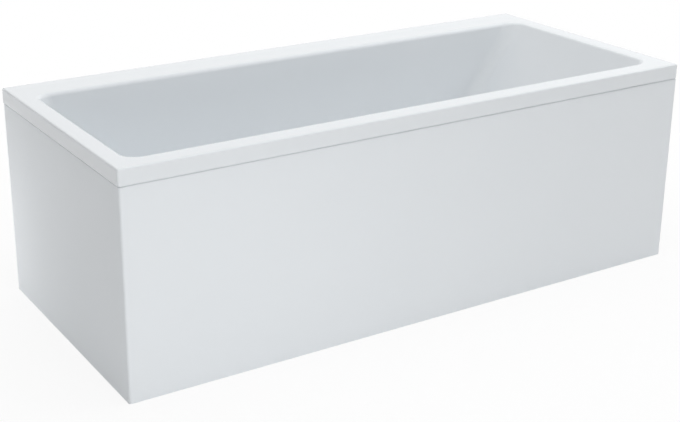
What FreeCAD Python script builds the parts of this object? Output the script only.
"""Bathtub with an acrylic shell, an L-shaped apron panel and a pop-up waste.

Frame: X runs along the bath from the foot end (drain, -X) to the head end
(backrest, +X), Y from the front (-Y) to the wall behind the bath (+Y), and Z up
from the floor. The origin is on the floor, under the middle of the rim. All
sizes are millimetres. Every size sits in the spreadsheet "dim", and the pieces
are bound to its cells by expressions.
"""
import FreeCAD, Part
import math
import os
import re

import Sketcher

V = FreeCAD.Vector

DIMENSIONS = [
    # the bath as a whole
    ("bath_length", 1700, "outside length of the rim"),
    ("bath_width", 750, "outside width of the rim"),
    ("rim_height", 580, "top of the rim above the floor"),
    ("skirt_height", 40, "height of the rim's outer skirt"),
    ("sheet_thickness", 5, "acrylic sheet"),
    ("backing_thickness", 3, "glass-fibre reinforcement under the basin"),
    ("rim_edge", 5, "rounding of the rim's outer top edge and corners"),
    # the basin's mouth: distance from the rim's outside to each wall's line
    ("foot_rim", 50, "rim width at the foot end"),
    ("head_rim", 55, "rim width at the head end"),
    ("front_rim", 60, "rim width at the front"),
    ("back_rim", 113, "rim width along the wall"),
    ("mouth_corner", 40, "rounding down the basin's four corners"),
    ("mouth_round", 12, "rounding from the rim into the basin"),
    # the basin's depth and how far each wall leans in over that depth
    ("basin_depth", 425, "rim to floor at the drain"),
    ("foot_run", 112, "lean of the foot wall"),
    ("head_run", 352, "lean of the backrest"),
    ("side_run", 44, "lean of each side wall"),
    ("floor_round", 75, "rounding from the walls into the floor"),
    ("floor_fall", 0.01, "fall of the floor towards the drain"),
    # the holes for the drain and the overflow
    ("drain_offset", 585, "drain centre from the middle of the bath"),
    ("drain_hole", 26, "radius of the hole in the floor"),
    ("drain_recess", 37, "radius of the recess for the flange"),
    ("recess_depth", 3, "depth of that recess"),
    ("boss_radius", 40, "radius of the flat pad under the drain"),
    ("boss_depth", 5, "how far the pad stands below the sheet"),
    ("overflow_height", 470, "overflow centre above the floor"),
    ("overflow_hole", 26, "radius of the hole in the foot wall"),
    # the timber and board bonded under the shell
    ("batten_depth", 18, "thickness of the rim battens"),
    ("batten_front", 30, "width of the front batten"),
    ("batten_back", 60, "width of the batten along the wall"),
    ("batten_end", 24, "width of the two end battens"),
    ("batten_long", 1580, "length of the front and back battens"),
    ("batten_short", 580, "length of the end battens"),
    ("batten_gap", 4, "gap between the skirt and the battens"),
    ("board_bottom", 131, "underside of the base board"),
    ("board_foot", -500, "foot end of the base board"),
    ("board_head", 360, "head end of the base board"),
    ("board_half", 168, "half the width of the base board"),
    # the leg set
    ("leg_foot", -420, "foot-end leg rail"),
    ("leg_head", 260, "head-end leg rail"),
    ("rail_width", 40, "leg rail channel, across"),
    ("rail_depth", 25, "leg rail channel, height"),
    ("rail_wall", 2, "leg rail steel"),
    ("rail_front", -330, "front end of each leg rail"),
    ("rail_back", 290, "back end of each leg rail"),
    ("spindle_front", -305, "front spindles"),
    ("spindle_back", 265, "back spindles"),
    ("spindle_radius", 6, "threaded spindle, M12"),
    ("spindle_top", 166, "top of the spindles"),
    ("spindle_hole", 6.6, "radius of the spindle's hole in the rail"),
    ("nut_height", 10, "lock nut"),
    ("nut_circle", 10.97, "lock nut across corners, halved"),
    ("running_fit", 0.08, "radial play of a moving shaft"),
    ("foot_radius", 27, "radius of the foot pad"),
    ("foot_rim_height", 5, "height of the foot pad's edge"),
    ("foot_neck", 11, "radius of the foot pad's neck"),
    ("foot_shoulder", 14, "height where the neck starts"),
    ("foot_height", 22, "height of the foot pad"),
    # the panel
    ("shadow_gap", 4, "gap between the panel and the skirt"),
    ("panel_recess", 3, "how far the panel stands back from the skirt"),
    ("panel_thickness", 4, "panel sheet"),
    ("panel_corner", 6, "outside radius of the panel's corner"),
    ("panel_return", 22, "depth of the panel's top and bottom returns"),
    ("tube_depth", 20, "panel frame tube, front to back"),
    ("tube_height", 30, "panel frame tube, height"),
    ("tube_wall", 2, "panel frame tube wall"),
    ("front_upright", 560, "outer uprights from the middle of the front"),
    ("end_upright", 150, "upright at the foot end"),
    ("strike_length", 60, "steel strike plate"),
    ("strike_height", 20, "height of the strike plate"),
    ("strike_thickness", 2, "thickness of the strike plate"),
    ("magnet_length", 40, "catch magnet"),
    ("magnet_height", 16, "height of the magnet"),
    ("magnet_thickness", 5, "thickness of the magnet"),
    ("housing_length", 50, "catch housing"),
    ("housing_wall", 4, "thickness of the catch housing's foot"),
    ("housing_block", 14, "depth of the catch housing"),
    ("catch_first", -450, "catch nearest the foot end, along the front"),
    ("catch_pitch", 550, "from that catch to the next"),
    ("end_catch_front", -150, "front catch at the foot end"),
    ("end_catch_back", 230, "back catch at the foot end"),
    # the wall brackets
    ("bracket_place", 450, "back brackets from the middle of the bath"),
    ("bracket_width", 60, "width of a wall bracket"),
    ("bracket_drop", 70, "wall bracket below the skirt"),
    ("bracket_plate", 3, "wall bracket steel"),
    ("bracket_shelf", 8, "depth of the bracket's hook"),
    ("bracket_tongue", 12, "height of the bracket's hook"),
    ("bracket_hole", 3, "radius of a wall bracket's screw hole"),
    ("bracket_spacing", 40, "spacing of those holes"),
    # the pop-up waste, measured from the flange's seat or the pad under it
    ("flange_radius", 35, "flange in the floor"),
    ("flange_height", 3.4, "top of the flange over its seat"),
    ("stem_radius", 22.5, "threaded stem of the flange"),
    ("stem_bore", 19, "bore of that stem"),
    ("stem_depth", 26, "stem below the seat"),
    ("guide_radius", 6, "lifter guide in the stem"),
    ("guide_height", 7, "height of that guide"),
    ("arm_width", 3, "bridge that carries the guide"),
    ("arm_height", 5, "height of that bridge"),
    ("seal_height", 4, "rubber seal under the floor"),
    ("waste_bore", 23, "bore of the waste body"),
    ("waste_wall", 2.5, "wall of the waste body's dip tube"),
    ("waste_barrel", 30, "outside of the waste body under the floor"),
    ("collar_radius", 41, "collar that closes the trap"),
    ("collar_depth", 35, "top of the collar below the pad"),
    ("collar_height", 4, "height of the collar"),
    ("dip_depth", 112, "end of the dip tube below the pad"),
    ("trap_radius", 40, "trap cup"),
    ("trap_wall", 3, "wall of the trap cup"),
    ("trap_depth", 123, "bottom of the trap cup below the pad"),
    ("trap_nut_wall", 4, "wall of the ring nut round the cup"),
    ("trap_nut_reach", 13, "how far that nut reaches below the collar's top"),
    ("trap_nut_lip", 3, "thickness of its lip over the collar"),
    ("trap_nut_play", 0.3, "play between the nut and the collar"),
    ("outlet_drop", 72, "outlet's centre below the pad"),
    ("outlet_radius", 20, "outlet pipe, 40 mm"),
    ("outlet_length", 70, "outlet pipe"),
    ("outlet_stop", 1.5, "shoulder on the pipe, held under the nut's lip"),
    ("outlet_lip", 7, "length of that lip"),
    ("outlet_relief", 4, "groove between the shoulder and the pipe's free end"),
    ("outlet_nut_wall", 5, "wall of the outlet's nut"),
    ("outlet_nut_grip", 14, "how far the nut reaches over the socket"),
    ("socket_radius", 23, "socket on the trap for the outlet"),
    ("socket_reach", 60, "end of that socket from the drain's centre"),
    ("pin_radius", 3, "lifter pin"),
    ("pin_top", -3, "top of the lifter pin from the flange's seat"),
    ("pin_foot", -54, "foot of the lifter pin from the flange's seat"),
    ("plug_radius", 27, "chromed plug"),
    ("plug_base", 5, "underside of the plug from the flange's seat"),
    # the overflow, measured along its axis from the face of the foot wall
    ("rosette_radius", 36, "overflow rosette"),
    ("rosette_bore", 20, "bore of its threaded sleeve"),
    ("sleeve_radius", 25, "threaded sleeve and the housing's bore"),
    ("housing_radius", 28, "outside of the overflow housing"),
    ("housing_flange", 35, "flange of the overflow housing"),
    ("housing_back", 40, "back of the overflow housing"),
    ("knob_base", 11, "underside of the knob"),
    ("knob_radius", 35, "turning knob"),
    ("spindle_shaft", 4, "radius of the knob's spindle"),
    ("crank_reach", 12, "crank that pulls the cable"),
    # hose and cable
    ("hose_root", 13, "hose radius between two ribs"),
    ("hose_crest", 15.5, "hose radius on a rib"),
    ("hose_cuff", 15, "hose radius on its plain ends"),
    ("hose_bore", 11.6, "hose bore radius"),
    ("hose_ribs", 10, "ribs on the hose"),
    ("hose_behind", 27, "hose's centre behind the overflow, square to the wall"),
    ("hose_top", 45, "upper end of the hose below the overflow's centre"),
    ("hose_drop", 30, "hose's centre below the basin's floor"),
    ("hose_reach", 52, "lower end of the hose from the drain's centre"),
    ("hose_grip", 24, "length of the spigots inside the hose"),
    ("route_down", 65, "first run of the hose's route, straight down"),
    ("route_along", 121, "last run of the hose's route, level"),
    ("clip_radius", 16.4, "hose clip"),
    ("clip_width", 9, "width of a hose clip"),
    ("cable_radius", 2.5, "pop-up cable"),
    ("cable_port", 4.5, "radius of the cable's two ports"),
    ("cable_offset", 25, "cable beside the hose"),
    ("cable_top", 38, "upper end of the cable below the overflow's centre"),
    ("cable_reach", 40, "lower end of the cable from the drain's centre"),
]

doc = FreeCAD.newDocument("Bathtub")
sheet = doc.addObject("Spreadsheet::Sheet", "dim")
for row, (alias, number, meaning) in enumerate(DIMENSIONS, start=1):
    sheet.set(f"A{row}", meaning)
    sheet.set(f"B{row}", str(number))
    sheet.setAlias(f"B{row}", alias)
doc.recompute()
ALIASES = {alias for alias, number, meaning in DIMENSIONS}
NODES = {}

# --- places that more than one piece is worked out from ---------------------
DRAIN_X = "-drain_offset"
MID_Y = "(front_rim - back_rim) / 2"
FLOOR_Z = "(rim_height - basin_depth)"
SKIRT_Z = "(rim_height - skirt_height)"
RIM_UNDER_Z = "(rim_height - sheet_thickness)"
PANEL_TOP_Z = "(rim_height - skirt_height - shadow_gap)"
PANEL_FRONT_Y = "(-bath_width / 2 + panel_recess)"
PANEL_END_X = "(-bath_length / 2 + panel_recess)"
WALL_Y = "bath_width / 2"
WALL_X = "bath_length / 2"
LEGS = {"foot": "leg_foot", "head": "leg_head"}
SPINDLES = {"front": "spindle_front", "back": "spindle_back"}


# --- expressions -----------------------------------------------------------

def full(expression):
    """Put the sheet's name in front of each of its aliases."""
    def named(match):
        word = match.group()
        return "dim." + word if word in ALIASES else word
    return re.sub(r"[a-z_]+", named, str(expression))


def value(expression):
    """Work an expression out, as a plain number."""
    return float(sheet.evalExpression(full(expression)))


def bind(item, **properties):
    """Bind properties of an object to expressions over the sheet."""
    for name, expression in properties.items():
        item.setExpression(name, full(expression))


def place(item, x=0, y=0, z=0, rotation=None):
    """Put an object at expressions x, y, z, turned by rotation."""
    if rotation is not None:
        item.Placement = FreeCAD.Placement(V(0, 0, 0), rotation)
    for axis, expression in zip("xyz", (x, y, z)):
        item.setExpression(f"Placement.Base.{axis}", full(expression))
    return item


def node(item, name):
    """Register an object as a named sub-part."""
    item.Label = name
    NODES[name] = item
    return item


# --- sketches and features -------------------------------------------------

def new_body(name):
    return doc.addObject("PartDesign::Body", name)


def origin_item(body, role):
    return next(f for f in body.Origin.OriginFeatures if f.Role == role)


def new_sketch(body, name, plane="XY_Plane", height="0"):
    """Attach a sketch to an origin plane, raised along its normal."""
    sketch = body.newObject("Sketcher::SketchObject", name)
    sketch.AttachmentSupport = [(origin_item(body, plane), "")]
    sketch.MapMode = "FlatFace"
    sketch.setExpression("AttachmentOffset.Base.z", full(height))
    return sketch


def fix_point(sketch, item, end, x, y, tag):
    """Bind one end of a sketch line to the expressions x and y."""
    for kind, expression, axis in (("DistanceX", x, -2), ("DistanceY", y, -1)):
        number = value(expression)
        if abs(number) < 1e-9:
            sketch.addConstraint(Sketcher.Constraint("PointOnObject", item, end, axis))
            continue
        index = sketch.addConstraint(Sketcher.Constraint(kind, -1, 1, item, end, number))
        name = f"{kind[-1].lower()}{tag}"
        sketch.renameConstraint(index, name)
        sketch.setExpression(f"Constraints.{name}", full(expression))


def outline(sketch, points):
    """Closed outline of straight lines through (x, y) expressions."""
    corners = [V(value(x), value(y), 0) for x, y in points]
    count = len(corners)
    first = sketch.GeometryCount
    for i in range(count):
        line = Part.LineSegment(corners[i], corners[(i + 1) % count])
        sketch.addGeometry(line, False)
    for i in range(count):
        following = first + (i + 1) % count
        sketch.addConstraint(Sketcher.Constraint("Coincident", first + i, 2, following, 1))
    for i, (x, y) in enumerate(points):
        fix_point(sketch, first + i, 1, x, y, first + i)
    return sketch


def rectangle(sketch, x0, x1, y0, y1):
    return outline(sketch, [(x0, y0), (x1, y0), (x1, y1), (x0, y1)])


def disc(sketch, x, y, radius):
    """Circle of an expression's radius at the expressions x and y."""
    centre = V(value(x), value(y), 0)
    item = sketch.addGeometry(Part.Circle(centre, V(0, 0, 1), value(radius)), False)
    index = sketch.addConstraint(Sketcher.Constraint("Radius", item, value(radius)))
    sketch.renameConstraint(index, f"radius{item}")
    sketch.setExpression(f"Constraints.radius{item}", full(radius))
    fix_point(sketch, item, 3, x, y, item)
    return sketch


def extrude(body, kind, name, sketch, length, midplane=False, reverse=False):
    """Pad or Pocket a sketch by an expression's length."""
    feature = body.newObject(f"PartDesign::{kind}", name)
    feature.Profile = sketch
    bind(feature, Length=length)
    if midplane:
        feature.Midplane = True
    feature.Reversed = reverse
    return feature


def edges_where(feature, test):
    """Names of the edges of a feature that pass a test."""
    doc.recompute()
    return [f"Edge{i}" for i, edge in enumerate(feature.Shape.Edges, 1) if test(edge)]


def round_edges(body, name, feature, test, radius):
    """Fillet the edges of a feature that pass a test."""
    edges = edges_where(feature, test)
    fillet = body.newObject("PartDesign::Fillet", name)
    fillet.Base = (feature, edges)
    bind(fillet, Radius=radius)
    return fillet


def level(height, reach=0.01):
    """Test for edges that lie at one height."""
    height = value(height)
    return lambda edge: (abs(edge.BoundBox.ZMin - height) < reach
                         and abs(edge.BoundBox.ZMax - height) < reach)


# --- the basin's form ------------------------------------------------------

def lean(run, offset):
    """Level distance that a wall of this lean moves when offset outwards."""
    return f"{offset} * sqrt(1 + pow({run} / basin_depth; 2))"


def wall_lines(offset, drop):
    """Left, right, front and back walls of the basin, a drop below the rim."""
    left = f"-bath_length / 2 + foot_rim + foot_run * {drop} / basin_depth"
    right = f"bath_length / 2 - head_rim - head_run * {drop} / basin_depth"
    front = f"-bath_width / 2 + front_rim + side_run * {drop} / basin_depth"
    back = f"bath_width / 2 - back_rim - side_run * {drop} / basin_depth"
    return (f"{left} - {lean('foot_run', offset)}", f"{right} + {lean('head_run', offset)}",
            f"{front} - {lean('side_run', offset)}", f"{back} + {lean('side_run', offset)}")


def floor_edges(offset):
    """Test for the edges round the basin's floor, which slopes to the drain."""
    drain_level = value(f"{FLOOR_Z} - ({offset})")
    fall, drain = value("floor_fall"), value("drain_offset")

    def on_floor(edge):
        points = [vertex.Point for vertex in edge.Vertexes]
        return all(abs(p.z - drain_level - fall * (p.x + drain)) < 0.5 for p in points)
    return on_floor


def corner_edges(edge):
    """Test for the four edges that run down the basin's corners."""
    return edge.BoundBox.ZLength > value("basin_depth / 2")


def basin_solid(name, offset):
    """Solid of the basin's form, offset outwards: a tapered block, cut to the
    sloping floor, with its floor and its corners rounded."""
    body = new_body(name + "_body")
    reach = "(basin_depth + floor_round / 2)"
    low, high = wall_lines(offset, reach), wall_lines(offset, "0")
    block = body.newObject("PartDesign::AdditiveWedge", name + "_block")
    block.Placement = FreeCAD.Placement(V(0, 0, 0), FreeCAD.Rotation(V(1, 0, 0), 90))
    block.setExpression("Placement.Base.z", full(f"rim_height - {reach}"))
    bind(block, Xmin=low[0], Xmax=low[1], Zmin=f"-({low[3]})", Zmax=f"-({low[2]})",
         Ymin="0", Ymax=reach, X2min=high[0], X2max=high[1],
         Z2min=f"-({high[3]})", Z2max=f"-({high[2]})")
    below = extruded(name + "_floor", "XY_Plane", lambda sketch: rectangle(
        sketch, "-bath_length", "bath_length", "-bath_width", "bath_width"),
        "basin_depth", reverse=True)
    slope = math.degrees(math.atan(value("floor_fall")))
    place(below, DRAIN_X, 0, f"{FLOOR_Z} - ({offset})", FreeCAD.Rotation(V(0, 1, 0), -slope))
    trimmed = combine(body, "Cut", name + "_sloped", below)
    rounded = round_edges(body, name + "_round", trimmed, floor_edges(offset),
                          f"floor_round + {offset}")
    round_edges(body, name + "_corners", rounded, corner_edges, f"mouth_corner + {offset}")
    return body


def combine(body, kind, name, tool):
    """Fuse a tool body into this one, or cut it out of it."""
    feature = body.newObject("PartDesign::Boolean", name)
    feature.Type = kind
    feature.addObjects([tool])
    return feature


def turned(name, profile):
    """Body turned about its own Z axis from (radius, height) expressions."""
    body = new_body(name + "_body")
    sketch = new_sketch(body, name + "_profile", "XZ_Plane")
    outline(sketch, profile)
    revolution = body.newObject("PartDesign::Revolution", name + "_turned")
    revolution.Profile = sketch
    revolution.ReferenceAxis = (sketch, ["V_Axis"])
    revolution.Angle = 360
    return body


def extruded(name, plane, draw, length, reverse=False, midplane=False, height="0"):
    """Body extruded from one sketch, which draw(sketch) fills in."""
    body = new_body(name + "_body")
    sketch = new_sketch(body, name + "_outline", plane, height)
    draw(sketch)
    extrude(body, "Pad", name + "_pad", sketch, length, midplane, reverse)
    return body


def box(name, x, y, z, length, width, height):
    item = doc.addObject("Part::Box", name + "_box")
    bind(item, Length=length, Width=width, Height=height)
    return place(item, x, y, z)


def cylinder(name, radius, height, x=0, y=0, z=0, rotation=None):
    item = doc.addObject("Part::Cylinder", name + "_cylinder")
    bind(item, Radius=radius, Height=height)
    return place(item, x, y, z, rotation)


def fuse(name, items):
    item = doc.addObject("Part::MultiFuse", name + "_fused")
    item.Shapes = items
    return item


def cut(name, base, tools):
    item = doc.addObject("Part::Cut", name + "_cut")
    item.Base = base
    item.Tool = tools[0] if len(tools) == 1 else fuse(name + "_tools", tools)
    return item


def group(name, items):
    """Several separate solids under one node."""
    item = doc.addObject("Part::Compound", name + "_group")
    item.Links = items
    return item


AGAINST_X = FreeCAD.Rotation(V(0, 1, 0), -90)
ALONG_Y = FreeCAD.Rotation(V(1, 0, 0), -90)
DOWNWARDS = FreeCAD.Rotation(V(1, 0, 0), 180)
TO_END_WALL = FreeCAD.Rotation(V(0, 0, 1), -90)


# --- the overflow's place on the foot wall ----------------------------------

def wall_slope():
    return math.atan(value("foot_run / basin_depth"))


WALL_RATIO = "sqrt(1 + pow(foot_run / basin_depth; 2))"
OVERFLOW_X = ("(-bath_length / 2 + foot_rim"
              " + foot_run * (rim_height - overflow_height) / basin_depth)")
OUT_OF_WALL = FreeCAD.Rotation(V(0, 1, 0), 90 - math.degrees(wall_slope()))


def behind_wall_x(depth):
    """X of a point this deep behind the overflow, square to the wall."""
    return f"({OVERFLOW_X} - ({depth}) / {WALL_RATIO})"


def behind_wall_z(depth):
    return f"(overflow_height - ({depth}) * foot_run / basin_depth / {WALL_RATIO})"


def drill(body, name, radius, length, x, y, z, rotation=None):
    """Cut a round hole that starts at x, y, z and runs along rotation's Z."""
    tool = extruded(name, "XY_Plane", lambda sketch: disc(sketch, 0, 0, radius), length)
    place(tool, x, y, z, rotation)
    return combine(body, "Cut", name, tool)


# --- shell -------------------------------------------------------------------

def inside_rim(test):
    """Narrow a test to edges away from the rim's outside."""
    reach_x = value("bath_length / 2 - 20")
    reach_y = value("bath_width / 2 - 20")

    def inside(edge):
        box_of = edge.BoundBox
        return (test(edge) and max(abs(box_of.XMin), abs(box_of.XMax)) < reach_x
                and max(abs(box_of.YMin), abs(box_of.YMax)) < reach_y)
    return inside


def bath_shell():
    """Acrylic shell: rim, skirt and basin drawn from one sheet."""
    body = new_body("shell_body")
    plan = new_sketch(body, "rim_plan", height=SKIRT_Z)
    rectangle(plan, "-bath_length / 2", "bath_length / 2", "-bath_width / 2", "bath_width / 2")
    rim = extrude(body, "Pad", "rim", plan, "skirt_height")
    lower = value(SKIRT_Z)
    round_edges(body, "rim_edges_round", rim,
                lambda edge: edge.BoundBox.ZMax > lower + 1, "rim_edge")
    under = new_sketch(body, "skirt_plan", height=SKIRT_Z)
    rectangle(under, "-bath_length / 2 + sheet_thickness", "bath_length / 2 - sheet_thickness",
              "-bath_width / 2 + sheet_thickness", "bath_width / 2 - sheet_thickness")
    extrude(body, "Pocket", "skirt_hollow", under,
            "skirt_height - sheet_thickness", reverse=True)
    combine(body, "Fuse", "basin_outside", basin_solid("outside", "sheet_thickness"))
    inside = combine(body, "Cut", "basin_inside", basin_solid("inside", "0"))
    round_edges(body, "mouth_rounded", inside, inside_rim(level("rim_height")), "mouth_round")
    boss = new_sketch(body, "drain_boss_plan",
                      height=f"{FLOOR_Z} - sheet_thickness - boss_depth")
    disc(boss, DRAIN_X, MID_Y, "boss_radius")
    extrude(body, "Pad", "drain_boss", boss, "sheet_thickness + boss_depth - recess_depth")
    drill(body, "drain_recess_hole", "drain_recess", "3 * recess_depth",
          DRAIN_X, MID_Y, f"{FLOOR_Z} - recess_depth")
    drill(body, "drain_through", "drain_hole", "4 * sheet_thickness",
          DRAIN_X, MID_Y, f"{FLOOR_Z} - 3 * sheet_thickness")
    overflow_drill(body, "overflow_through")
    node(body, "bath_shell")


def overflow_drill(body, name):
    """Hole for the overflow, square through the foot wall."""
    reach = 20
    drill(body, name, "overflow_hole", 2 * reach,
          behind_wall_x(reach), MID_Y, behind_wall_z(reach), OUT_OF_WALL)


def glass_fibre_backing():
    """Sprayed reinforcement over the outside of the basin."""
    body = basin_solid("laminate", "(sheet_thickness + backing_thickness)")
    combine(body, "Cut", "laminate_inside", basin_solid("laminate_bore", "sheet_thickness"))
    above = extruded("laminate_trim", "XY_Plane", lambda sketch: rectangle(
        sketch, "-bath_length / 2", "bath_length / 2", "-bath_width / 2", "bath_width / 2"),
        "skirt_height", height="rim_height - skirt_height / 2")
    combine(body, "Cut", "laminate_edge", above)
    drill(body, "laminate_drain", "boss_radius + 0.5", "8 * backing_thickness",
          DRAIN_X, MID_Y, f"{FLOOR_Z} - 6 * backing_thickness")
    overflow_drill(body, "laminate_overflow")
    node(body, "glass_fibre_backing")


def base_board():
    """Board bedded under the floor: flat below, sloped with the floor above."""
    def top(x):
        return (f"{FLOOR_Z} - sheet_thickness - backing_thickness"
                f" + floor_fall * ({x} + drain_offset)")
    body = extruded("base_board", "XZ_Plane", lambda sketch: outline(sketch, [
        ("board_foot", "board_bottom"), ("board_head", "board_bottom"),
        ("board_head", top("board_head")), ("board_foot", top("board_foot"))]),
        "2 * board_half", midplane=True)
    node(place(body, 0, MID_Y, 0), "base_board")


def rim_battens():
    """Timber strips bonded under the rim, between the skirt and the basin."""
    inside = "(sheet_thickness + batten_gap)"
    long_x, short_y = "-batten_long / 2", f"{MID_Y} - batten_short / 2"
    battens = {
        "front": (long_x, f"-bath_width / 2 + {inside}", "batten_long", "batten_front"),
        "back": (long_x, f"bath_width / 2 - {inside} - batten_back", "batten_long",
                 "batten_back"),
        "foot": (f"-bath_length / 2 + {inside}", short_y, "batten_end", "batten_short"),
        "head": (f"bath_length / 2 - {inside} - batten_end", short_y, "batten_end",
                 "batten_short"),
    }
    for side, (x, y, length, width) in battens.items():
        name = f"rim_batten_{side}"
        strip = box(name, x, y, f"{RIM_UNDER_Z} - batten_depth", length, width, "batten_depth")
        node(strip, name)


# --- legs --------------------------------------------------------------------

def leg_rails():
    """Steel channels across the bath, open downwards, drilled for the spindles."""
    inner = "rail_width / 2 - rail_wall"
    for end, x in LEGS.items():
        name = f"leg_rail_{end}"
        body = extruded(name, "XZ_Plane", lambda sketch: outline(sketch, [
            ("-rail_width / 2", "-rail_depth"), (f"-({inner})", "-rail_depth"),
            (f"-({inner})", "-rail_wall"), (inner, "-rail_wall"),
            (inner, "-rail_depth"), ("rail_width / 2", "-rail_depth"),
            ("rail_width / 2", 0), ("-rail_width / 2", 0)]),
            "rail_back - rail_front", reverse=True)
        holes = new_sketch(body, name + "_holes")
        for y in SPINDLES.values():
            disc(holes, 0, f"{y} - rail_front", "spindle_hole")
        extrude(body, "Pocket", name + "_drilled", holes, "2 * rail_wall")
        node(place(body, x, "rail_front", "board_bottom"), name)


def lock_nut(name, x, y, z):
    prism = doc.addObject("Part::Prism", name + "_prism")
    prism.Polygon = 6
    bind(prism, Circumradius="nut_circle", Height="nut_height")
    bore = cylinder(name + "_bore", "spindle_radius + running_fit", "nut_height", x, y, z)
    return cut(name, place(prism, x, y, z), [bore])


def feet():
    """Four threaded spindles on their pads, and the nuts that carry the rails."""
    nuts = []
    for end, x in LEGS.items():
        for side, y in SPINDLES.items():
            name = f"{side}_{end}"
            rod = cylinder(f"spindle_{name}", "spindle_radius", "spindle_top - foot_height",
                           x, y, "foot_height")
            node(rod, f"foot_spindle_{name}")
            pad = turned(f"pad_{name}", [
                (0, 0), ("foot_radius", 0), ("foot_radius", "foot_rim_height"),
                ("foot_neck", "foot_shoulder"), ("foot_neck", "foot_height"),
                (0, "foot_height")])
            node(place(pad, x, y, 0), f"foot_pad_{name}")
            nuts.append(lock_nut(f"nut_{name}", x, y, "board_bottom - rail_wall - nut_height"))
    node(group("foot_lock_nuts", nuts), "foot_lock_nuts")


# --- wall brackets -------------------------------------------------------------

def wall_bracket(name, x, y, rotation=None):
    """Hook that is screwed to the wall and carries the skirt's lower edge."""
    lip = "bracket_shelf + bracket_plate"
    body = extruded(name, "YZ_Plane", lambda sketch: outline(sketch, [
        (0, "-bracket_drop"), (0, 0), ("-bracket_shelf", 0),
        ("-bracket_shelf", "bracket_tongue"), (f"-({lip})", "bracket_tongue"),
        (f"-({lip})", "-bracket_plate"), ("-bracket_plate", "-bracket_plate"),
        ("-bracket_plate", "-bracket_drop")]), "bracket_width", midplane=True)
    holes = new_sketch(body, name + "_holes", "XZ_Plane")
    for step in (0, 1):
        disc(holes, 0, f"-bracket_drop + 4 * bracket_plate + {step} * bracket_spacing",
             "bracket_hole")
    extrude(body, "Pocket", name + "_drilled", holes, "4 * bracket_plate", midplane=True)
    node(place(body, x, y, SKIRT_Z, rotation), name)


def wall_brackets():
    wall_bracket("wall_bracket_back_foot", "-bracket_place", WALL_Y)
    wall_bracket("wall_bracket_back_head", "bracket_place", WALL_Y)
    wall_bracket("wall_bracket_end", WALL_X, 0, TO_END_WALL)


# --- apron panel -----------------------------------------------------------------

def bath_panel():
    """One folded panel round the front and the foot end, with returns."""
    inner_y = f"{PANEL_FRONT_Y} + panel_thickness"
    inner_x = f"{PANEL_END_X} + panel_thickness"
    body = extruded("panel", "XY_Plane", lambda sketch: outline(sketch, [
        (PANEL_END_X, WALL_Y), (PANEL_END_X, PANEL_FRONT_Y), (WALL_X, PANEL_FRONT_Y),
        (WALL_X, inner_y), (inner_x, inner_y), (inner_x, WALL_Y)]), PANEL_TOP_Z)
    web = body.Tip
    corner_x, corner_y = value(PANEL_END_X), value(PANEL_FRONT_Y)
    round_edges(body, "panel_corner_round", web, lambda edge: (
        edge.BoundBox.ZLength > 100 and abs(edge.BoundBox.XMin - corner_x) < 0.1
        and abs(edge.BoundBox.YMin - corner_y) < 0.1), "panel_corner")
    for name, height in (("bottom", "0"), ("top", f"{PANEL_TOP_Z} - panel_thickness")):
        sketch = new_sketch(body, f"panel_return_{name}", height=height)
        outline(sketch, [
            (f"{inner_x} - panel_thickness / 2", WALL_Y),
            (f"{inner_x} - panel_thickness / 2", f"{inner_y} - panel_thickness / 2"),
            (WALL_X, f"{inner_y} - panel_thickness / 2"),
            (WALL_X, f"{inner_y} + panel_return"),
            (f"{inner_x} + panel_return", f"{inner_y} + panel_return"),
            (f"{inner_x} + panel_return", WALL_Y)])
        extrude(body, "Pad", f"panel_{name}_return", sketch, "panel_thickness")
    node(body, "bath_panel")


def tube(name, plane, width, height, length, reverse=False):
    """Rectangular tube from the origin, extruded square to its plane."""
    def draw(sketch):
        rectangle(sketch, 0, width, 0, height)
        rectangle(sketch, "tube_wall", f"{width} - tube_wall",
                  "tube_wall", f"{height} - tube_wall")
    return extruded(name, plane, draw, length, reverse)


def panel_frame():
    """Aluminium tubes bonded inside the panel."""
    inner_y = f"{PANEL_FRONT_Y} + panel_thickness"
    inner_x = f"{PANEL_END_X} + panel_thickness"
    corner = "tube_depth + panel_thickness / 2"
    levels = {"bottom": "panel_thickness",
              "top": f"{PANEL_TOP_Z} - panel_thickness - tube_height"}
    for name, z in levels.items():
        front = tube(f"frame_front_{name}", "YZ_Plane", "tube_depth", "tube_height",
                     "bath_length - tube_height")
        node(place(front, f"{inner_x} + {corner}", inner_y, z), f"panel_rail_front_{name}")
        end = tube(f"frame_end_{name}", "XZ_Plane", "tube_depth", "tube_height",
                   "bath_width - 2 * tube_depth", reverse=True)
        node(place(end, inner_x, f"{inner_y} + {corner} + 2 * panel_thickness", z),
             f"panel_rail_end_{name}")
    between = f"{PANEL_TOP_Z} - 2 * panel_thickness - 2 * tube_height"
    foot = "panel_thickness + tube_height"
    uprights = []
    for index, x in enumerate(("-front_upright", 0, "front_upright"), start=1):
        post = tube(f"upright_front_{index}", "XY_Plane", "tube_height", "tube_depth", between)
        uprights.append(place(post, x, inner_y, foot))
    post = tube("upright_end", "XY_Plane", "tube_depth", "tube_height", between)
    uprights.append(place(post, inner_x, "end_upright", foot))
    node(group("panel_uprights", uprights), "panel_uprights")


def plate(name, length, height, thickness):
    """Plate that stands on the XZ plane, centred on its origin."""
    return extruded(name, "XZ_Plane", lambda sketch: rectangle(
        sketch, f"-{length} / 2", f"{length} / 2", f"-{height} / 2", f"{height} / 2"),
        thickness, reverse=True)


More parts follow.
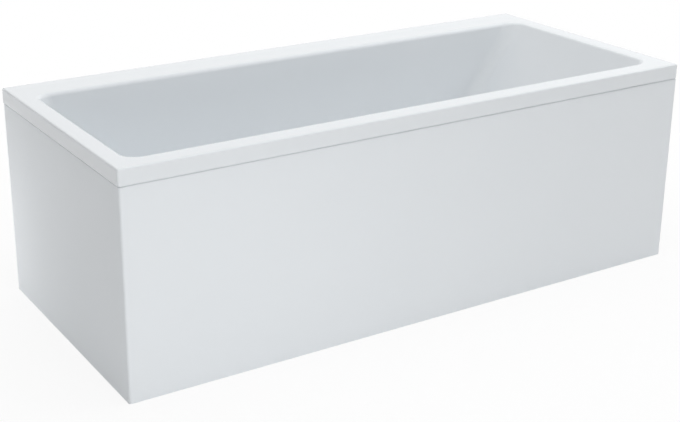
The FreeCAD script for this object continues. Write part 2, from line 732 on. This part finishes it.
def catch_housing(name, height):
    """Angle that hangs the magnet from the batten; height is its top."""
    front, lowest = "magnet_thickness - strike_thickness - 1", "-strike_height * 0.7"
    body = extruded(name, "YZ_Plane", lambda sketch: outline(sketch, [
        (front, lowest), (f"{front} + housing_block", lowest),
        (f"{front} + housing_block", height), ("-strike_height + 2", height),
        ("-strike_height + 2", f"{height} - housing_wall"),
        (front, f"{height} - housing_wall")]), "housing_length", midplane=True)
    seat = new_sketch(body, name + "_seat", "XZ_Plane")
    rectangle(seat, "-magnet_length / 2", "magnet_length / 2",
              "-magnet_height / 2", "magnet_height / 2")
    extrude(body, "Pocket", name + "_pocket", seat, "2 * magnet_thickness", midplane=True)
    return body


def panel_catches():
    """Magnets under the rim battens, which hold strikes on the panel's top rail."""
    strikes, housings, magnets = [], [], []
    face_y = f"{PANEL_FRONT_Y} + panel_thickness + tube_depth"
    face_x = f"{PANEL_END_X} + panel_thickness + tube_depth"
    middle = f"{PANEL_TOP_Z} - panel_thickness - tube_height / 2"
    batten_under = f"{RIM_UNDER_Z} - batten_depth - ({middle})"
    spots = [(f"catch_first + {step} * catch_pitch", face_y, None) for step in range(3)]
    spots += [(face_x, y, TO_END_WALL) for y in ("end_catch_front", "end_catch_back")]
    for index, (x, y, rotation) in enumerate(spots, start=1):
        strike = plate(f"strike_{index}", "strike_length", "strike_height", "strike_thickness")
        strikes.append(place(strike, x, y, middle, rotation))
        magnet = plate(f"magnet_{index}", "magnet_length", "magnet_height", "magnet_thickness")
        housing = catch_housing(f"housing_{index}", batten_under)
        past_strike = ((x, f"{y} + strike_thickness") if rotation is None
                       else (f"{x} + strike_thickness", y))
        magnets.append(place(magnet, *past_strike, middle, rotation))
        housings.append(place(housing, *past_strike, middle, rotation))
    node(group("magnet_strikes", strikes), "magnet_strikes")
    node(group("catch_housings", housings), "catch_housings")
    node(group("catch_magnets", magnets), "catch_magnets")


# --- waste -----------------------------------------------------------------------

SEAT_Z = f"({FLOOR_Z} - recess_depth)"
PAD_Z = f"({FLOOR_Z} - sheet_thickness - boss_depth)"
OUTLET_Z = f"({PAD_Z} - outlet_drop)"
HOSE_X = behind_wall_x("hose_behind")
HOSE_TOP_Z = "(overflow_height - hose_top)"
HOSE_Z = f"({FLOOR_Z} - hose_drop)"
HOSE_END_X = "(-drain_offset - hose_reach)"
CABLE_Y = f"({MID_Y} + cable_offset)"
CABLE_TOP_Z = "(overflow_height - cable_top)"
CABLE_END_X = "(-drain_offset - cable_reach)"


def at_drain(item, z=0):
    return place(item, DRAIN_X, MID_Y, z)


def waste_flange():
    """Chromed flange screwed down through the floor, with the pin's guide."""
    lip = 2
    ring = at_drain(turned("flange", [
        ("stem_bore", "-stem_depth"), ("stem_radius", "-stem_depth"), ("stem_radius", 0),
        ("flange_radius", 0), ("flange_radius", "flange_height"),
        (f"stem_bore + {lip}", "flange_height"), ("stem_bore", f"flange_height - {lip}")]),
        SEAT_Z)
    guide_foot = f"{SEAT_Z} - stem_depth + 1"
    guide = at_drain(cylinder("flange_guide", "guide_radius", "guide_height"), guide_foot)
    reach = "(stem_bore + 1)"
    bridge = box("flange_bridge", f"{DRAIN_X} - {reach}", f"{MID_Y} - arm_width / 2",
                 guide_foot, f"2 * {reach}", "arm_width", "arm_height")
    bore = at_drain(cylinder("flange_bore", "pin_radius + running_fit", "guide_height + 2"),
                    f"{guide_foot} - 1")
    node(cut("waste_flange", fuse("flange_whole", [ring, guide, bridge]), [bore]),
         "waste_flange")


def waste_seal():
    """Rubber ring between the pad under the floor and the waste body."""
    ring = turned("floor_seal", [
        ("stem_radius + 1.5", "-seal_height"), ("boss_radius - 2", "-seal_height"),
        ("boss_radius - 2", 0), ("stem_radius + 1.5", 0)])
    node(at_drain(ring, PAD_Z), "waste_seal")


def waste_body():
    """Moulded body under the drain: hose and cable ports, and the dip tube."""
    below_flange = "-seal_height - 5"
    dip = "waste_bore + waste_wall"
    collar_foot = "-collar_depth - collar_height"
    body = at_drain(turned("waste", [
        ("waste_bore", "-seal_height"), ("boss_radius - 2", "-seal_height"),
        ("boss_radius - 2", below_flange), ("waste_barrel", below_flange),
        ("waste_barrel", "-collar_depth"), ("collar_radius", "-collar_depth"),
        ("collar_radius", collar_foot), (dip, collar_foot), (dip, "-dip_depth"),
        ("waste_bore", "-dip_depth")]), PAD_Z)
    port_start = f"({DRAIN_X} - waste_bore - waste_wall)"
    port_length = f"{port_start} - {HOSE_END_X} + hose_grip"
    port = cylinder("hose_port", "hose_bore", port_length, port_start, MID_Y, HOSE_Z, AGAINST_X)
    cable_port = cylinder("cable_port", "cable_port", f"{DRAIN_X} - ({CABLE_END_X}) - 15",
                          f"{DRAIN_X} - 15", CABLE_Y, HOSE_Z, AGAINST_X)
    rest_z = f"{SEAT_Z} + pin_foot - 4"
    rest = box("pin_rest", f"{DRAIN_X} - waste_bore - 1", f"{MID_Y} - 2", rest_z,
               "2 * waste_bore + 2", 4, 4)
    whole = fuse("waste_whole", [body, port, cable_port, rest])
    bore = cylinder("hose_port_bore", "hose_bore - trap_wall", f"2 * ({port_length})",
                    f"{port_start} + waste_wall + 2", MID_Y, HOSE_Z, AGAINST_X)
    inside = at_drain(cylinder("waste_inside", "waste_bore", "collar_depth"),
                      f"{PAD_Z} - collar_depth")
    node(cut("waste_body", whole, [bore, inside]), "waste_body")


def trap():
    """Trap cup, its ring nut, and the outlet towards the wall."""
    mouth, floor = "-collar_depth - collar_height", "-trap_depth"
    inner = "trap_radius - trap_wall"
    bevel = "(trap_wall + 1)"
    cup = at_drain(turned("cup", [
        (0, floor), (f"trap_radius - {bevel}", floor), ("trap_radius", f"{floor} + {bevel}"),
        ("trap_radius", mouth), (inner, mouth), (inner, f"{floor} + trap_wall"),
        (0, f"{floor} + trap_wall")]), PAD_Z)
    start = f"{MID_Y} + trap_radius - 2 * trap_wall"
    length = "socket_reach - trap_radius + 2 * trap_wall"
    socket = cylinder("cup_socket", "socket_radius", length, DRAIN_X, start, OUTLET_Z, ALONG_Y)
    mouth_bore = cylinder("cup_mouth", "outlet_radius - waste_wall", length + " + 2",
                          DRAIN_X, start, OUTLET_Z, ALONG_Y)
    inside = at_drain(cylinder("cup_inside", inner, "2 * socket_radius"),
                      f"{OUTLET_Z} - socket_radius")
    shell = fuse("cup_whole", [cup, socket])
    node(cut("trap_cup", shell, [mouth_bore, inside]), "trap_cup")
    clear, outside = "collar_radius + trap_nut_play", "collar_radius + trap_nut_wall"
    lowest, top = "-collar_depth - trap_nut_reach", "-collar_depth + trap_nut_lip"
    neck = "waste_barrel + 1"
    node(at_drain(turned("cup_nut", [
        (clear, lowest), (outside, lowest), (outside, top), (neck, top),
        (neck, "-collar_depth"), (clear, "-collar_depth")]), PAD_Z), "trap_nut")
    outlet_y = f"{MID_Y} + socket_reach"
    stop, relief = "outlet_radius + outlet_stop", "outlet_radius - 0.5"
    free = "outlet_lip + outlet_relief"
    outlet = turned("outlet", [
        ("outlet_radius - waste_wall", 0), (stop, 0), (stop, "outlet_lip"),
        (relief, "outlet_lip"), (relief, free), ("outlet_radius", free),
        ("outlet_radius", "outlet_length"), ("outlet_radius - waste_wall", "outlet_length")])
    node(place(outlet, DRAIN_X, outlet_y, OUTLET_Z, ALONG_Y), "trap_outlet")
    rim = "socket_radius + outlet_nut_wall"
    nut = turned("outlet_nut", [
        ("socket_radius", "-outlet_nut_grip"), (rim, "-outlet_nut_grip"),
        (rim, "outlet_lip"), (stop, "outlet_lip"), (stop, 0), ("socket_radius", 0)])
    node(place(nut, DRAIN_X, outlet_y, OUTLET_Z, ALONG_Y), "outlet_nut")


def plug():
    """Pop-up plug, its seal and stem, and the pin that lifts it."""
    node(at_drain(cylinder("pin", "pin_radius", "pin_top - pin_foot"),
                  f"{SEAT_Z} + pin_foot"), "lifter_pin")
    clear = "pin_radius + running_fit"
    node(at_drain(turned("stem", [
        (clear, -16), ("guide_radius", -16), ("guide_radius", "plug_base"), (0, "plug_base"),
        (0, "pin_top"), (clear, "pin_top")]), SEAT_Z), "plug_stem")
    seal_inner, seal_outer = "stem_bore + 2.5", "stem_bore + 6"
    node(at_drain(turned("plug_seal", [
        (seal_inner, "flange_height"), (seal_outer, "flange_height"),
        (seal_outer, "plug_base"), (seal_inner, "plug_base")]), SEAT_Z), "plug_seal")
    node(at_drain(turned("plug_cap", [
        (0, "plug_base"), ("plug_radius - 1", "plug_base"), ("plug_radius", "plug_base + 1.2"),
        ("plug_radius - 4", "plug_base + 3.4"), (0, "plug_base + 4.5")]), SEAT_Z),
        "waste_plug")


# --- overflow ----------------------------------------------------------------------

def at_overflow(item, depth="0"):
    """Stand an item's Z axis square on the foot wall, over the overflow."""
    return place(item, behind_wall_x(depth), MID_Y, behind_wall_z(depth), OUT_OF_WALL)


def overflow_housing():
    """Cup behind the foot wall, with a spigot for the hose and one for the cable."""
    skin = "-sheet_thickness - backing_thickness"
    flange_front, flange_back = f"{skin} - 3", f"{skin} - 6"
    inner_back = "-housing_back + 3"
    cup = at_overflow(turned("overflow_cup", [
        ("sleeve_radius", flange_front), ("housing_flange", flange_front),
        ("housing_flange", flange_back), ("housing_radius", flange_back),
        ("housing_radius", "-housing_back"), (0, "-housing_back"), (0, inner_back),
        ("sleeve_radius", inner_back)]))
    spigot = cylinder("overflow_spigot", "hose_bore", "20 + hose_grip", HOSE_X, MID_Y,
                      f"{HOSE_TOP_Z} + 20", DOWNWARDS)
    guide = cylinder("overflow_guide", "cable_port", 28, HOSE_X, CABLE_Y,
                     f"{CABLE_TOP_Z} + 28", DOWNWARDS)
    inside = at_overflow(cylinder("overflow_inside", "sleeve_radius", 24), "housing_back - 3")
    bore = cylinder("overflow_spigot_bore", "hose_bore - trap_wall", 70, HOSE_X, MID_Y,
                    f"{HOSE_TOP_Z} + 40", DOWNWARDS)
    node(cut("overflow_housing", fuse("overflow_whole", [cup, spigot, guide]),
             [inside, bore]), "overflow_housing")
    node(at_overflow(turned("overflow_ring_seal", [
        ("overflow_hole + 0.5", flange_front), ("housing_flange", flange_front),
        ("housing_flange", skin), ("overflow_hole + 0.5", skin)])), "overflow_seal")


def overflow_ring():
    """Fixed rosette, slotted below for the water, with the spindle's bearing."""
    wall, lip = "rosette_radius - 3", "knob_base - 1"
    plate_ring = at_overflow(turned("rosette", [
        ("rosette_bore", "-rosette_radius * 0.7"), ("sleeve_radius", "-rosette_radius * 0.7"),
        ("sleeve_radius", 0), ("rosette_radius", 0), ("rosette_radius", lip), (wall, lip),
        (wall, 3), ("rosette_bore", 3)]))
    hub = at_overflow(cylinder("rosette_hub", "2 * spindle_shaft", 6), "3")
    reach = "(rosette_bore + 2)"
    bar = at_overflow(extruded("rosette_bar", "XY_Plane", lambda sketch: rectangle(
        sketch, "-arm_width / 2", "arm_width / 2", f"-{reach}", reach), "arm_height"), "2.5")
    bearing = at_overflow(cylinder("rosette_bearing", "spindle_shaft + running_fit", 8), "4")

    def three_slots(sketch):
        for middle in (-13, 0, 13):
            rectangle(sketch, "rosette_radius - 14", "rosette_radius + 2",
                      middle - 5, middle + 5)
    slots = at_overflow(extruded("rosette_slots", "XY_Plane", three_slots, 5), "-4")
    node(cut("overflow_ring", fuse("rosette_whole", [plate_ring, hub, bar]),
             [bearing, slots]), "overflow_ring")


def overflow_knob():
    """Turning knob that pulls the cable, and its spindle with the crank."""
    cap = at_overflow(turned("knob_disc", [
        (0, "knob_base"), ("knob_radius", "knob_base"), ("knob_radius", "knob_base + 3"),
        ("knob_radius - 5", "knob_base + 6"), (0, "knob_base + 7.5")]))
    scoops = []
    for index, side in enumerate((-1, 1), start=1):
        scoop = at_overflow(cylinder(f"knob_scoop_{index}", 14, 12), "-knob_base + 1")
        scoop.setExpression("Placement.Base.y", full(f"{MID_Y} + {side} * (knob_radius + 8)"))
        scoops.append(scoop)
    node(cut("overflow_knob", cap, scoops), "overflow_knob")
    shaft = at_overflow(cylinder("knob_shaft", "spindle_shaft", "knob_base + housing_back - 3"),
                        "housing_back - 3")
    crank = at_overflow(extruded("knob_crank", "XY_Plane", lambda sketch: rectangle(
        sketch, "-spindle_shaft", "crank_reach", "-spindle_shaft", "spindle_shaft"), 4), "24")
    node(fuse("knob_spindle", [shaft, crank]), "knob_spindle")


# --- hose and cable ------------------------------------------------------------------

class Route:
    """Straight runs joined by tangent arcs, in a plane of constant Y."""

    def __init__(self, points):
        self.parts = []
        start = points[0]
        for before, corner, after in zip(points, points[1:], points[2:]):
            into = (corner - before).normalize()
            out = (after - corner).normalize()
            turn = into.getAngle(out)
            reach = 0.45 * min(corner.distanceToPoint(before), corner.distanceToPoint(after))
            radius = reach / math.tan(turn / 2)
            first, last = corner - into * reach, corner + out * reach
            towards = (out - into).normalize()
            centre = corner + towards * (radius / math.cos(turn / 2))
            middle = centre - towards * radius
            self.parts.append(Part.LineSegment(start, first))
            self.parts.append(Part.Arc(first, middle, last))
            start = last
            print(f"arc radius {radius:.0f} mm, turn {math.degrees(turn):.0f} degrees")
        self.parts.append(Part.LineSegment(start, points[-1]))
        self.edges = [part.toShape() for part in self.parts]
        self.length = sum(edge.Length for edge in self.edges)

    def at(self, distance):
        """Point and direction at a distance along the route."""
        for edge in self.edges[:-1]:
            if distance <= edge.Length:
                break
            distance -= edge.Length
        else:
            edge = self.edges[-1]
        parameter = edge.getParameterByLength(min(distance, edge.Length))
        return edge.valueAt(parameter), edge.tangentAt(parameter)

    def circle(self, distance, radius):
        """Circle square to the route, with its seam on the side of +Y."""
        point, direction = self.at(distance)
        turn = FreeCAD.Rotation(V(0, 1, 0), V(0, 0, 0), direction, "ZXY")
        ring = Part.Wire([Part.Circle(V(0, 0, 0), V(0, 0, 1), radius).toShape()])
        ring.Placement = FreeCAD.Placement(point, turn)
        return ring

    def tube(self, radius):
        """Plain solid tube along the whole route."""
        return Part.Wire(self.edges).makePipeShell([self.circle(0, radius)], True, True)


def route_from(y, top_z, end_x):
    """Route down from the overflow and under the basin to the waste."""
    top_x, low_z = value(HOSE_X), value(HOSE_Z)
    return Route([V(top_x, y, top_z), V(top_x, y, top_z - value("route_down")),
                  V(end_x - value("route_along"), y, low_z), V(end_x, y, low_z)])


def overflow_hose():
    """Corrugated hose with plain cuffs, each rib drawn through four circles."""
    route = route_from(value(MID_Y), value(HOSE_TOP_Z), value(HOSE_END_X))
    root, crest, cuff = value("hose_root"), value("hose_crest"), value("hose_cuff")
    ribs, plain = int(value("hose_ribs")), value("hose_grip") + 6
    pitch = (route.length - 2 * plain) / ribs
    sections = [route.circle(0, cuff), route.circle(plain - 4, cuff)]
    for rib in range(ribs):
        for share, radius in ((0.0, root), (0.3, crest), (0.6, crest), (0.9, root)):
            sections.append(route.circle(plain + (rib + share) * pitch, radius))
    sections += [route.circle(route.length - plain + 4, cuff), route.circle(route.length, cuff)]
    hose = doc.addObject("Part::Feature", "overflow_hose_solid")
    hose.Shape = Part.makeLoft(sections, True, True).cut(route.tube(value("hose_bore")))
    node(hose, "overflow_hose")


def hose_clip(name, x, z, rotation):
    """Band round the hose's cuff, with the housing of its worm screw."""
    band = turned(name + "_band", [
        ("hose_cuff", 0), ("clip_radius", 0), ("clip_radius", "clip_width"),
        ("hose_cuff", "clip_width")])
    worm = extruded(name + "_worm", "XY_Plane", lambda sketch: rectangle(
        sketch, "-clip_width / 2", "clip_width / 2", "clip_radius - 0.6", "clip_radius + 6"),
        "clip_width")
    parts = [place(item, x, MID_Y, z, rotation) for item in (band, worm)]
    node(fuse(name, parts), name)


def hose_clips():
    inset = 6
    hose_clip("hose_clip_upper", HOSE_X, f"{HOSE_TOP_Z} - {inset}", DOWNWARDS)
    hose_clip("hose_clip_lower", f"{HOSE_END_X} - {inset}", HOSE_Z, AGAINST_X)


def pop_up_cable():
    """Cable beside the hose, from the knob's housing to the waste."""
    route = route_from(value(CABLE_Y), value(CABLE_TOP_Z), value(CABLE_END_X))
    cable = doc.addObject("Part::Feature", "pop_up_cable_solid")
    cable.Shape = route.tube(value("cable_radius"))
    node(cable, "pop_up_cable")


# --- build and write ------------------------------------------------------------------

def check_objects():
    """Stop if any object failed, or if a sub-part has no sound shape."""
    failed = [item.Name for item in doc.Objects
              if "Invalid" in item.State or "Error" in item.State]
    failed += [name for name, item in NODES.items()
               if item.Shape.isNull() or not item.Shape.isValid()]
    if failed:
        raise RuntimeError("failed: " + ", ".join(failed))


def write_parts():
    os.makedirs("parts", exist_ok=True)
    for name, item in NODES.items():
        item.Shape.exportStep(f"parts/{name}.step")
        print(f"{name:26s} {item.Shape.Volume / 1000:10.2f} cm3"
              f" {len(item.Shape.Solids):3d} solids")


bath_shell()
glass_fibre_backing()
base_board()
rim_battens()
leg_rails()
feet()
wall_brackets()
bath_panel()
panel_frame()
panel_catches()
waste_flange()
waste_seal()
waste_body()
trap()
plug()
overflow_housing()
overflow_ring()
overflow_knob()
overflow_hose()
hose_clips()
pop_up_cable()
doc.recompute()
check_objects()
write_parts()
